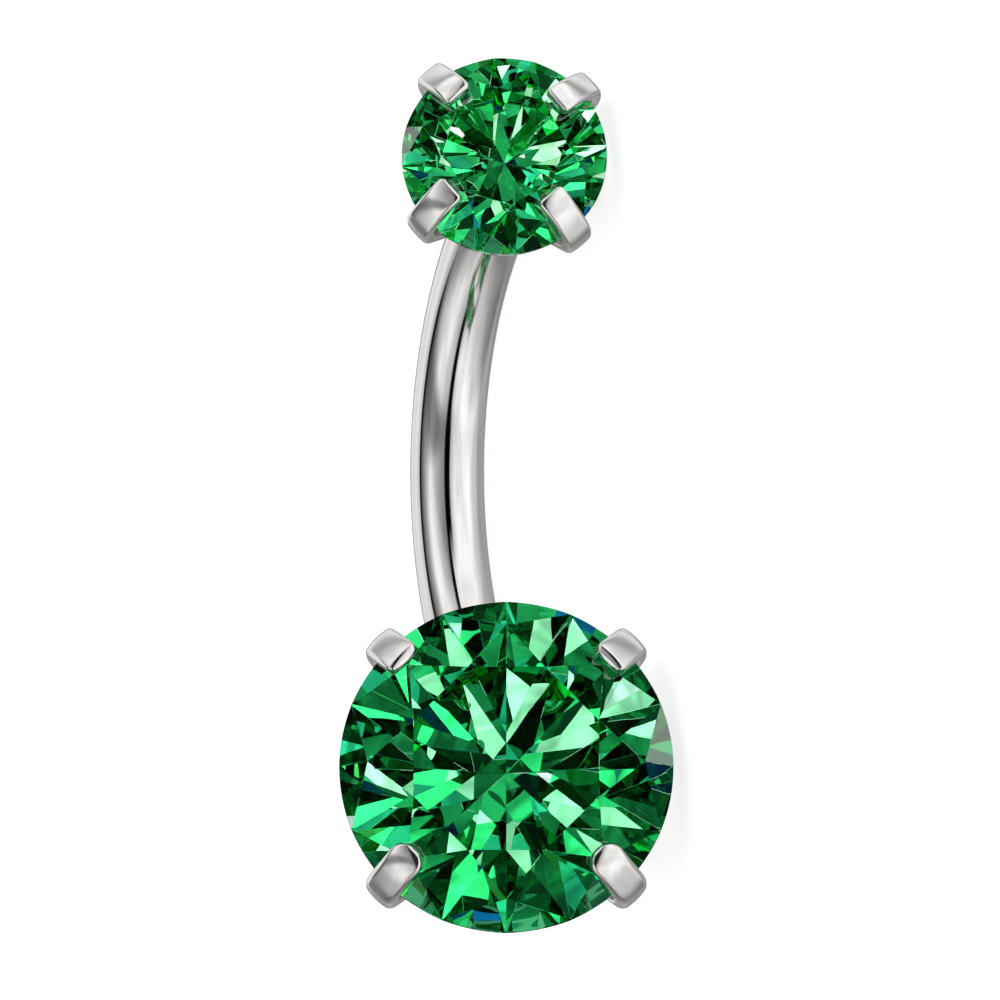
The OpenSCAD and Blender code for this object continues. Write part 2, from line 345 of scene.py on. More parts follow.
@dataclass(frozen=True)
class PolishedSteel:
    """316L surgical steel, cast or drawn and then polished.

    A fine buffing leaves it bright and nearly clear, with reflections that are
    a touch softer in some places than in others, and a slight waviness that
    makes their edges run unevenly.
    """

    name: str
    colour: str = "#efedeb"
    dull_colour: str = "#e2e0de"
    roughness: float = 0.05
    dullness: float = 0.04
    haze_from: Span = (0.3, 0.7)
    haze_mm: float = 0.9
    wave_mm: float = 1.3
    wave_height_mm: float = 0.002
    grain_mm: float = 0.03
    grain_height_mm: float = 0.00003

    def build(self) -> Material:
        """The material, patterned on Object coordinates."""
        material = new_material(self.name)
        tree = material.node_tree
        where = add_node(tree, "TexCoord").outputs["Object"]
        haze = add_node(tree, "TexNoise", {
            "Vector": where, "Scale": 1 / (self.haze_mm * MM), "Detail": 3.0})
        tint = add_node(tree, "Mix", {
            0: haze.outputs[0], 6: linear(self.colour), 7: linear(self.dull_colour)},
            data_type="RGBA")
        low, high = self.haze_from
        rough = add_node(tree, "MapRange", {
            "Value": haze.outputs[0], "From Min": low, "From Max": high,
            "To Min": self.roughness, "To Max": self.roughness + self.dullness})
        wave = add_node(tree, "TexNoise", {
            "Vector": where, "Scale": 1 / (self.wave_mm * MM), "Detail": 1.0})
        grain = add_node(tree, "TexNoise", {
            "Vector": where, "Scale": 1 / (self.grain_mm * MM), "Detail": 2.0})
        coarse = add_node(tree, "Bump", {
            "Height": wave.outputs[0], "Distance": self.wave_height_mm * MM})
        fine = add_node(tree, "Bump", {
            "Height": grain.outputs[0], "Distance": self.grain_height_mm * MM,
            "Normal": coarse.outputs[0]})
        steel = add_node(tree, "BsdfPrincipled", {
            "Base Color": tint.outputs[2], "Metallic": 1.0,
            "Roughness": rough.outputs[0], "Normal": fine.outputs[0]})
        add_node(tree, "OutputMaterial", {"Surface": steel.outputs[0]})
        return material


@dataclass(frozen=True)
class GreenZirconia:
    """Emerald-green cubic zirconia, faceted and polished.

    It bends light far more than glass, so its back facets mirror the lights
    back through the table, and its green deepens with the light's way inside.
    """

    name: str = "polished emerald-green cubic zirconia"
    ior: float = 2.15
    passed: str = "#28f5c1"
    density: float = 360.0
    wave_mm: float = 1.2
    wave_height_mm: float = 0.006

    def build(self) -> Material:
        """The material: a clear, very slightly wavy surface round a green volume."""
        material = new_material(self.name)
        tree = material.node_tree
        where = add_node(tree, "TexCoord").outputs["Object"]
        wave = add_node(tree, "TexNoise", {
            "Vector": where, "Scale": 1 / (self.wave_mm * MM), "Detail": 0.0})
        wavy = add_node(tree, "Bump", {
            "Height": wave.outputs[0], "Distance": self.wave_height_mm * MM})
        surface = add_node(tree, "BsdfPrincipled", {
            "Base Color": (1.0, 1.0, 1.0, 1.0), "Roughness": 0.0, "IOR": self.ior,
            "Transmission Weight": 1.0, "Normal": wavy.outputs[0]})
        inside = add_node(tree, "VolumeAbsorption", {
            "Color": linear(self.passed), "Density": self.density})
        add_node(tree, "OutputMaterial", {
            "Surface": surface.outputs[0], "Volume": inside.outputs[0]})
        return material


# Stones

@dataclass(frozen=True)
class Brilliant:
    """A round brilliant cut, its girdle plane at z = 0 and its table up.

    The crown, pavilion and girdle are shares of the diameter. The table's edge
    and the tips of the star and lower girdle facets lie at shares of the radius.
    """

    name: str
    node: str
    body: Body
    diameter: float
    turn: float = 0.0
    table_share: float = 0.6
    crown_share: float = 0.15
    pavilion_share: float = 0.43
    girdle_share: float = 0.03
    star_share: float = 0.83
    halves_share: float = 0.23
    girdle_steps: int = 8
    junction: float = 0.003
    junction_angle: float = np.radians(5.0)

    @property
    def radius(self) -> float:
        """The stone's radius."""
        return self.diameter / 2

    @property
    def girdle_z(self) -> float:
        """Half the girdle's thickness."""
        return self.girdle_share * self.diameter / 2

    @property
    def table_z(self) -> float:
        """The table's height."""
        return self.girdle_z + self.crown_share * self.diameter

    @property
    def culet_z(self) -> float:
        """The culet's height, below the girdle."""
        return -self.girdle_z - self.pavilion_share * self.diameter

    @property
    def star_r(self) -> float:
        """The radius of the star facets' tips."""
        return self.star_share * self.radius

    @property
    def star_z(self) -> float:
        """The height of the star facets' tips, on the kites' planes."""
        slope = 2 * self.crown_share / (1 - self.table_share)
        reach = self.star_share * np.cos(EIGHTH / 2) - self.table_share
        return self.table_z - slope * reach * self.radius

    @property
    def halves_z(self) -> float:
        """The height of the lower girdle facets' tips, on the mains' planes."""
        climb = self.pavilion_share * self.diameter * self.halves_share * np.cos(EIGHTH / 2)
        return self.culet_z + climb

    @property
    def outer_slope(self) -> float:
        """The crown's slope from the girdle to a star facet's tip."""
        return (self.star_z - self.girdle_z) / (self.radius - self.star_r)

    @property
    def star_slope(self) -> float:
        """The slope of a star facet."""
        run = self.star_r - self.table_share * self.radius * np.cos(EIGHTH / 2)
        return (self.table_z - self.star_z) / run

    def crown_z(self, r: Array) -> Array:
        """The crown's height at a radius, on a line through a star facet's tip."""
        slope = np.where(r > self.star_r, self.outer_slope, self.star_slope)
        return self.star_z + (self.star_r - r) * slope

    def edge(self, tip_r: float, tip_z: float, side: float) -> Array:
        """The girdle's wavy edge, where planes through the facets' tips meet it.

        z = corner + slope * (R cos a - R cos(1/32 turn)), where a is the angle
        from the middle between two corners.

        Args:
            tip_r: radius of the facets' inner tips.
            tip_z: height of those tips.
            side: 1 above the girdle, -1 below it.

        Returns:
            The edge's points.
        """
        per = self.girdle_steps
        j = np.arange(16 * per)
        step = EIGHTH / 2 / per
        a = (j % per) * step - EIGHTH / 4
        chord = self.radius * np.cos(EIGHTH / 4)
        corner = side * self.girdle_z
        slope = (tip_z - corner) / (tip_r * np.cos(EIGHTH / 4) - chord)
        z = corner + slope * (self.radius * np.cos(a) - chord)
        x, y = self.radius * np.cos(j * step), self.radius * np.sin(j * step)
        return np.stack([x, y, z], axis=-1)

    def mesh(self) -> Mesh:
        """The stone's points and its flat facets, one face each.

        The points are the table's eight corners, the eight star tips, the
        girdle's upper and lower edge, the eight lower tips and the culet.
        """
        per = self.girdle_steps
        k = np.arange(8)

        def ring(r: float, start: float, z: float) -> Array:
            """Eight points round the axis."""
            a = start + k * EIGHTH
            return np.stack([r * np.cos(a), r * np.sin(a), np.full(8, z)], axis=-1)

        def columns(*corners: Array) -> list:
            """Faces, from columns of their corners' indices."""
            return np.column_stack(corners).tolist()

        points = np.concatenate([
            ring(self.table_share * self.radius, EIGHTH / 2, self.table_z),
            ring(self.star_r, 0.0, self.star_z),
            self.edge(self.star_r, self.star_z, 1.0),
            self.edge(self.halves_share * self.radius, self.halves_z, -1.0),
            ring(self.halves_share * self.radius, 0.0, self.halves_z),
            [[0.0, 0.0, self.culet_z]]])
        count = 16 * per
        star, up, low, half, culet = 8, 16, 16 + count, 16 + 2 * count, 24 + 2 * count
        j = np.arange(count)
        on = (k + 1) % 8
        mid = (2 * k + 1) * per
        left = (2 * k[:, None] * per + np.arange(per + 1)) % count
        right = (2 * k[:, None] * per + np.arange(-per, 1)) % count
        faces = [k.tolist()]
        faces += columns((k + 7) % 8, star + k, k)
        faces += columns(star + k, up + mid, star + on, k)
        faces += columns(up + left, star + k) + columns(up + right, star + k)
        faces += columns(low + j, low + (j + 1) % count, up + (j + 1) % count, up + j)
        faces += columns(low + left[:, ::-1], half + k) + columns(low + right[:, ::-1], half + k)
        faces += columns(np.full(8, culet), half + on, low + mid, half + k)
        return spun(points, self.turn), faces

    def build(self, place: Place, material: Material) -> None:
        """Makes the stone, with a hair of a polished edge between its facets."""
        points, faces = self.mesh()
        piece = place_mesh(self.name, place.metres(points), faces, None)
        edge = piece.modifiers.new("facet_junctions", "BEVEL")
        edge.width = self.junction * MM
        edge.segments = 1
        edge.limit_method = "ANGLE"
        edge.angle_limit = self.junction_angle
        finish_piece(piece, material, self.body, self.node)


# Settings

@dataclass(frozen=True)
class StripSection:
    """A rounded rectangle for strips, as sums of its two half sizes.

    x = half width * wide + rounding * wide_back, and y likewise for thickness,
    so that one table of shares serves every station of a strip.
    """

    per_corner: int = 9
    per_face: int = 14
    per_edge: int = 3

    def shares(self) -> tuple[Array, ...]:
        """The shares wide, wide_back, thick and thick_back, once round."""
        edge = np.linspace(-1, 1, self.per_edge, endpoint=False)
        turn = np.linspace(0, np.pi / 2, self.per_corner, endpoint=False)
        face = np.linspace(1, -1, self.per_face, endpoint=False)
        ones = np.ones_like
        wide = np.concatenate([ones(edge), ones(turn), face, -ones(turn)])
        wide_back = np.concatenate([0 * edge, np.cos(turn) - 1, -face, 1 - np.sin(turn)])
        thick = np.concatenate([edge, ones(turn), ones(face), ones(turn)])
        thick_back = np.concatenate([-edge, np.sin(turn) - 1, 0 * face, np.cos(turn) - 1])
        halves = (wide, wide_back, thick, thick_back)
        return tuple(np.concatenate([half, -half]) for half in halves)


@dataclass(frozen=True)
class Prong:
    """One prong: a strip that rises from the base and folds over the crown.

    It reaches in to tip_r and thins there to tip_t, over taper_run. Its edges
    are rounded by tip_edge at the tip and by fold_edge further back, the tip's
    corners by corner_round, and its outer face swells by crown. The lip is how
    much the outer face drops over its last lip_run.
    """

    width: float
    thickness: float
    tip_r: float
    tip_t: float
    taper_run: float
    tip_edge: float
    fold_edge: float
    corner_round: float
    crown: float
    lip: float = 0.0
    lip_run: float = 0.08
    lip_ease: float = 0.2
    star_pull: float = 1.5
    cap_shares: Span = (0.7, 0.35)
    cap_bulge: float = 0.25
    arc_steps: int = 24
    line_steps: int = 700
    blur_steps: int = 24
    station_mm: float = 0.04
    tip_steps: int = 18

    def centre_line(self, stone: Brilliant, head_r: float, base_r: float) -> Array:
        """The middle of the strip in radius and height, in small even steps.

        An arm runs straight from the base to the bend, a quarter turn or less
        makes it upright, and a second arc folds it over the crown. It then runs
        parallel to the facets below it or, where it reaches past the star tips,
        in a curve p = (1-u)^2 a + 2 u (1-u) c + u^2 b over them. A mean with
        bell-shaped weights, taken along the line, softens its corners.

        Args:
            stone: the stone that it holds.
            head_r: radius over the prongs.
            base_r: radius of the base.

        Returns:
            Points of shape (n, 2).
        """
        t = self.thickness
        foot = np.array([base_r - t, stone.culet_z - STONE_GAP - BASE_T / 2])
        bend = np.array([head_r - BEND_ROUND * t, -BEND_DROP * stone.diameter])
        bend_r = (BEND_ROUND - 0.5) * t
        to = bend - foot
        lean = np.arctan2(to[0], to[1]) + np.arcsin(bend_r / np.hypot(*to))
        slope = np.arctan(stone.outer_slope)
        lift = STONE_GAP / np.cos(slope)
        fold_r = FOLD_ROUND * t
        fold_z = stone.girdle_z + lift + (stone.radius - head_r + fold_r) * stone.outer_slope
        fold = np.array([head_r - fold_r, fold_z - (fold_r - t) / np.cos(slope)])

        def arc(centre: Array, r: float, start: float, end: float) -> Array:
            """Points on an arc from one angle to another."""
            a = np.linspace(start, end, self.arc_steps)[:, None]
            return centre + r * np.concatenate([np.cos(a), np.sin(a)], axis=1)

        def over(r: float, angle: float) -> Array:
            """The strip's middle above the crown at a radius."""
            under = np.array([r, float(stone.crown_z(np.array(r))) + lift])
            return (under + t / 2 * np.array([np.sin(angle), np.cos(angle)]))[None]

        parts = [foot[None], arc(bend, bend_r, -lean, 0.0),
                 arc(fold, fold_r - t / 2, 0.0, np.pi / 2 - slope)]
        if self.tip_r < stone.star_r:
            star = np.arctan(stone.star_slope)
            start, tip = parts[-1][-1:], over(self.tip_r, star)
            corner = over(stone.star_r, (slope + star) / 2)
            bent = self.star_pull * corner - (self.star_pull - 1) / 2 * (start + tip)
            u = np.linspace(0, 1, self.arc_steps)[1:, None]
            parts += [(1 - u) ** 2 * start + 2 * u * (1 - u) * bent + u ** 2 * tip]
        else:
            parts += [over(self.tip_r, slope)]
        line = np.concatenate(parts)
        run = run_of(line)
        fine = along(line, run, np.linspace(0, run[-1], self.line_steps))
        pad = self.blur_steps
        head = fine[0] + (fine[0] - fine[1:pad + 1])[::-1]
        tail = fine[-1] + (fine[-1] - fine[-pad - 1:-1])[::-1]
        window = np.hanning(2 * pad + 3)[1:-1]
        window /= window.sum()
        full = np.concatenate([head, fine, tail])
        return np.stack([np.convolve(full[:, i], window, "valid") for i in (0, 1)], axis=1)

    def mesh(self, stone: Brilliant, head_r: float, base_r: float) -> Mesh:
        """The strip's points in the head's frame, along X, and its faces.

        Each ring is centre + x * side + y * out. Near the tip, at a distance d
        from it, the half width loses c - sqrt(c^2 - (c - d)^2) for the rounded
        plan corners, and the edges close with sqrt(e^2 - (e - d)^2). A lip L
        with a run r and an ease k drops the last stretch of the outer face by
        (1 + k) L v^2 / (v + k r) / r, for v = r - d.
        """
        line = self.centre_line(stone, head_r, base_r)
        run = run_of(line)
        length = run[-1]
        c, e = self.corner_round, self.tip_edge
        end = c * (1 - np.cos(np.linspace(0, np.pi / 2, self.tip_steps)))
        main = np.linspace(0, length - c, int(length / self.station_mm))
        s = np.concatenate([main[:-1], length - end[::-1]])
        d = length - s
        way = np.gradient(line, run, axis=0)
        way /= np.linalg.norm(way, axis=1, keepdims=True)
        at, on = along(line, run, s), along(way, run, s)
        plan = np.where(d < c, c - quarter(c, d), 0)
        back = np.clip(d / self.taper_run, 0, 1)
        edge = e + (self.fold_edge - e) * back ** 2 * (3 - 2 * back)
        close = np.where(d < e, quarter(e, d), edge)
        inset = np.where(d < e, e - close, 0)
        droop = (self.thickness - self.tip_t) * (1 - back) ** 2
        over = np.clip(self.lip_run - d, 0, None)
        lip = self.lip * over ** 2 / (over + self.lip_ease * self.lip_run)
        droop = droop + lip * (1 + self.lip_ease) / self.lip_run
        half_w = (self.width / 2 - plan)[:, None]
        half_t = (self.thickness / 2 - inset - droop / 2)[:, None]
        wide, wide_back, thick, thick_back = StripSection().shares()
        x = half_w * wide + close[:, None] * wide_back
        y = half_t * thick + close[:, None] * thick_back
        rise = self.crown * (1 - (2 * x / self.width) ** 2)
        y = y + rise * np.clip(y / half_t, 0, 1) - droop[:, None] / 2
        zero = np.zeros(len(s))
        out = np.stack([on[:, 1], zero, -on[:, 0]], axis=1)
        centre = np.stack([at[:, 0], zero, at[:, 1]], axis=1)
        side = np.array([0.0, -1.0, 0.0])
        rings = centre[:, None] + x[..., None] * side + y[..., None] * out[:, None]
        middle = rings[-1].mean(axis=0)
        inner = np.array(self.cap_shares)[:, None, None]
        bulge = self.cap_bulge * e * (1 - inner ** 2)
        tip_way = np.array([on[-1, 0], 0.0, on[-1, 1]])
        cap = middle + (rings[-1] - middle) * inner + bulge * tip_way
        rings = np.concatenate([rings, cap])
        return skin(rings, centre[0], middle + self.cap_bulge * e * tip_way)


@dataclass
class Setting:
    """A four-prong basket: prongs, the rail under the girdle and the base.

    The rail's edges are rounded by edge, the base's by base_edges, back first.
    """

    prefix: str
    node: str
    body: Body
    stone: Brilliant
    side_gap: float
    base_r: float
    turn: float
    prongs: tuple[Prong, Prong, Prong, Prong]
    names: tuple[str, ...] = ("upper_right", "upper_left", "lower_left", "lower_right")
    edge: float = 0.05
    base_edges: Triple = (0.08, 0.08, 0.06)
    edge_steps: int = 6
    rail_steps: int = 192
    base_steps: int = 128

    @property
    def head_r(self) -> float:
        """Radius over the prongs."""
        return self.stone.radius + self.side_gap + self.prongs[0].thickness

    @property
    def foot_z(self) -> float:
        """Height of the base's middle."""
        return self.stone.culet_z - STONE_GAP - BASE_T / 2

    def arm_z(self, r: float) -> float:
        """Height of an arm's middle line at a radius."""
        t = self.prongs[0].thickness
        to = np.array([self.head_r - BEND_ROUND * t - self.base_r + t,
                       -BEND_DROP * self.stone.diameter - self.foot_z])
        lean = np.arctan2(*to) + np.arcsin((BEND_ROUND - 0.5) * t / np.hypot(*to))
        return self.foot_z + (r - self.base_r + t) / np.tan(lean)

    def rail(self) -> Mesh:
        """The rail: its seat follows the pavilion, its underside is level."""
        stone, slope = self.stone, 2 * self.stone.pavilion_share
        out_r = RAIL_SHARE * stone.radius
        in_r = out_r - self.prongs[0].thickness
        drop = STONE_GAP * np.sqrt(1 + slope ** 2)

        def seat(r: float) -> float:
            """The seat's height at a radius."""
            return -stone.girdle_z - drop - slope * (stone.radius - r)

        under = self.arm_z(out_r)
        corners = np.array([[in_r, under], [out_r, under],
                            [out_r, seat(out_r)], [in_r, seat(in_r)]])
        outline = rounded(corners, np.full(4, self.edge), self.edge_steps, True)
        return hoop(turned(outline, self.rail_steps))

    def base(self) -> Mesh:
        """The base: a disc with softened edges and a chamfered back."""
        top = self.stone.culet_z - STONE_GAP
        r, low = self.base_r, top - BASE_T
        corners = np.array([[POLE_R, low], [r - BASE_CHAMFER, low], [r, low + BASE_CHAMFER],
                            [r, top], [POLE_R, top]])
        outline = rounded(corners, np.array([0, *self.base_edges, 0]), self.edge_steps, False)
        return skin(turned(outline, self.base_steps), on_axis(low), on_axis(top))

    def build(self, place: Place, material: Material) -> None:
        """Makes the setting's pieces at the head's place on the worn ring."""
        for i, (name, prong) in enumerate(zip(self.names, self.prongs)):
            points, faces = prong.mesh(self.stone, self.head_r, self.base_r)
            points = place.metres(spun(points, (2 * i + 1) * EIGHTH - self.turn))
            steel_piece(f"{self.prefix}_prong_{name}", points, faces, material, self.body, self.node)
        for part, (points, faces) in (("rail", self.rail()), ("base", self.base())):
            points = place.metres(points)
            steel_piece(f"{self.prefix}_{part}", points, faces, material, self.body, self.node)


# Bar

def belly() -> Array:
    """The direction in which the bar bows, in the worn position."""
    return np.array([-np.sin(BELLY_TURN), np.cos(BELLY_TURN), 0.0])


def on_arc(a: Array) -> tuple[Array, Array, Array]:
    """The bar's centreline: centre, way and outward direction at angles.

    The centre is R (cos a * belly + sin a * Z) from the arc's middle, in the
    worn position, for angles a from the belly.
    """
    a = np.atleast_1d(a)[:, None]
    up = np.array([0.0, 0.0, 1.0])
    out = np.cos(a) * belly() + np.sin(a) * up
    way = -np.sin(a) * belly() + np.cos(a) * up
    return ARC_AT + BEND_R * out, way, out


@dataclass
class CurvedBar:
    """The curved bar and its screw post.

    The thread rises over thread_rise from thread_from above the bar's end, and
    falls over thread_fall to thread_to below the post's. The post's end narrows
    by tip_drop over tip_run.
    """

    node: str = "bar_with_lower_setting"
    edge: float = 0.07
    edge_steps: int = 10
    steps: int = 96
    stations: int = 190
    post_stations: int = 150
    groove_power: float = 1.3
    thread_from: float = 0.06
    thread_rise: float = 0.08
    thread_to: float = 0.1
    thread_fall: float = 0.06
    tip_run: float = 0.14
    tip_drop: float = 0.12

    def bar(self) -> Mesh:
        """A circle carried along the arc, its upper end's edge rounded.

        Near the end, at a distance d from it, the radius is
        R - e + sqrt(e^2 - (e - d)^2).
        """
        e = self.edge
        end = e * (1 - np.cos(np.linspace(0, np.pi / 2, self.edge_steps))) / BEND_R
        main = np.linspace(-ARC_BELOW, ARC_ABOVE - e / BEND_R, self.stations)
        a = np.concatenate([main[:-1], ARC_ABOVE - end[::-1]])
        d = (ARC_ABOVE - a) * BEND_R
        r = BAR_D / 2 - np.where(d < e, e - quarter(e, d), 0)
        centre, _, out = on_arc(a)
        side = np.cross(belly(), [0.0, 0.0, 1.0])
        t = np.linspace(0, 2 * np.pi, self.steps, endpoint=False)
        x, y = r[:, None] * np.cos(t), r[:, None] * np.sin(t)
        rings = centre[:, None] + x[..., None] * side + y[..., None] * out[:, None]
        return skin(rings, centre[0], centre[-1])

    def post(self) -> Mesh:
        """The screw post, along Z from the bar's end, with its thread.

        The radius falls from the crest by depth * |2 p - 1|^power, where p is
        the share of a turn that height / pitch - angle / turn leaves over.
        """
        z = np.linspace(-POST_D / 4, POST_H, self.post_stations)
        a = np.linspace(0, 2 * np.pi, self.steps, endpoint=False)
        phase = (z[:, None] / THREAD_PITCH - a / (2 * np.pi)) % 1.0
        groove = THREAD_DEPTH * np.abs(2 * phase - 1) ** self.groove_power
        rise = np.clip((z - self.thread_from) / self.thread_rise, 0, 1)
        fall = np.clip((POST_H - self.thread_to - z) / self.thread_fall, 0, 1)
        tip = np.clip((z - POST_H + self.tip_run) / self.tip_run, 0, 1) * self.tip_drop
        r = POST_D / 2 - groove * (rise * fall)[:, None] - tip[:, None]
        rings = np.stack([r * np.cos(a), r * np.sin(a), z[:, None] + 0 * a], axis=-1)
        return skin(rings, on_axis(z[0]), on_axis(z[-1]))

    def build(self, material: Material) -> None:
        """Makes the bar and its post."""
        points, faces = self.bar()
        steel_piece("curved_bar", to_rest(points), faces, material, Body.RING, self.node)
        points, faces = self.post()
        points = screw_place().metres(points)
        steel_piece("screw_post", points, faces, material, Body.RING, self.node)


def screw_place() -> Place:
    """The place of the screw: Z along it, from the bar's upper end."""
    centre, way, _ = on_arc(ARC_ABOVE)
    across = np.array([np.cos(BELLY_TURN), np.sin(BELLY_TURN), 0.0])
    return Place(centre[0], np.stack([across, np.cross(way[0], across), way[0]]))


@dataclass
class ScrewNeck:
    """The neck of the upper head: a bored cylinder that ends in the base.

    Its edges are rounded at the bore's end, the bore's mouth and the rim.
    """

    head: Place
    foot_z: float
    node: str = "upper_setting"
    edges: Triple = (0.02, 0.03, 0.05)
    edge_steps: int = 5
    rim_run: float = 0.08
    steps: int = 96

    def mesh(self) -> Mesh:
        """A profile turned about the screw, its last ring cut on a slant.

        The last ring lies where each line along the neck meets the middle
        plane of the head's base.
        """
        bore, out_r = POST_D / 2 + POST_GAP, BAR_D / 2
        deep = POST_H + 2 * NECK_GAP
        corners = np.array([[POLE_R, deep], [bore, deep], [bore, NECK_GAP], [out_r, NECK_GAP],
                            [out_r, NECK_GAP + self.rim_run]])
        outline = rounded(corners, np.array([0, *self.edges, 0]), self.edge_steps, False)
        rings = turned(outline, self.steps)
        screw = screw_place()
        up = self.head.axes[2]
        ground = self.head.origin + self.foot_z * up
        last = rings[-1]
        worn = screw.origin + last @ screw.axes
        climb = ((ground - worn) @ up) / (screw.axes[2] @ up)
        middle = ((ground - screw.origin) @ up) / (screw.axes[2] @ up)
        slant = last + climb[:, None] * on_axis(1.0)
        return skin(np.concatenate([rings, slant[None]]), on_axis(deep), on_axis(middle))

    def build(self, material: Material) -> None:
        """Makes the neck."""
        points, faces = self.mesh()
        points = screw_place().metres(points)
        steel_piece("upper_neck", points, faces, material, Body.UPPER_HEAD, self.node)


# The whole ring

def face_place(at: Array, tilt: float) -> Place:
    """A head's place, its face tilted up: X to the right, Y up the face and Z out of it."""
    return Place(at, np.array([[1.0, 0.0, 0.0],
                               [0.0, np.sin(tilt), np.cos(tilt)],
                               [0.0, -np.cos(tilt), np.sin(tilt)]]))


@dataclass
class NavelRing:
    """The whole ring, from its sizes."""

    lower_tilt: float = np.radians(10.0)
    upper_tilt: float = np.radians(17.0)
    upper_turn: float = np.radians(4.0)
    lower_stone: Brilliant = Brilliant("lower_brilliant", "lower_stone", Body.RING, 7.16)
    upper_stone: Brilliant = Brilliant(
        "upper_brilliant", "upper_stone", Body.UPPER_HEAD, 4.41, turn=np.radians(-16.8))

    def build(self) -> None:
        """Makes every piece: the lower head's upper prongs are pads, its lower ones tabs."""
        steel = PolishedSteel("mirror-polished surgical steel").build()
        soft_steel = PolishedSteel("tumble-polished surgical steel", roughness=0.1, dullness=0.05,
                                   wave_mm=0.5, wave_height_mm=0.0015).build()
        large = GreenZirconia().build()
        small = GreenZirconia("polished emerald-green cubic zirconia, small", passed="#28fbc1",
                              density=490.0).build()
        lower = face_place(np.zeros(3), self.lower_tilt)
        pad = Prong(width=0.8, thickness=0.3, tip_r=2.98, tip_t=0.21, taper_run=0.75,
                    tip_edge=0.045, fold_edge=0.11, corner_round=0.17, crown=0.05,
                    lip=0.075, lip_run=0.09)
        tab = Prong(width=0.8, thickness=0.3, tip_r=2.7, tip_t=0.12, taper_run=0.8,
                    tip_edge=0.05, fold_edge=0.13, corner_round=0.36, crown=0.06)
        claw = Prong(width=0.66, thickness=0.27, tip_r=1.4, tip_t=0.2, taper_run=0.55,
                     tip_edge=0.06, fold_edge=0.09, corner_round=0.12, crown=0.03)
        lower_setting = Setting(
            "lower", "bar_with_lower_setting", Body.RING, self.lower_stone, side_gap=0.03,
            base_r=1.7, turn=0.0, prongs=(pad, pad, tab, tab))
        upper_setting = Setting(
            "upper", "upper_setting", Body.UPPER_HEAD, self.upper_stone, side_gap=0.035,
            base_r=1.05, turn=self.upper_turn, prongs=(claw,) * 4, edge=0.04)
        centre, way, _ = on_arc(ARC_ABOVE)
        face = face_place(np.zeros(3), self.upper_tilt)
        upper = Place(centre[0] + NECK_H * way[0] - upper_setting.foot_z * face.axes[2], face.axes)
        CurvedBar().build(steel)
        lower_setting.build(lower, soft_steel)
        ScrewNeck(upper, upper_setting.foot_z).build(steel)
        upper_setting.build(upper, soft_steel)
        self.lower_stone.build(lower, large)
        self.upper_stone.build(upper, small)


# Studio

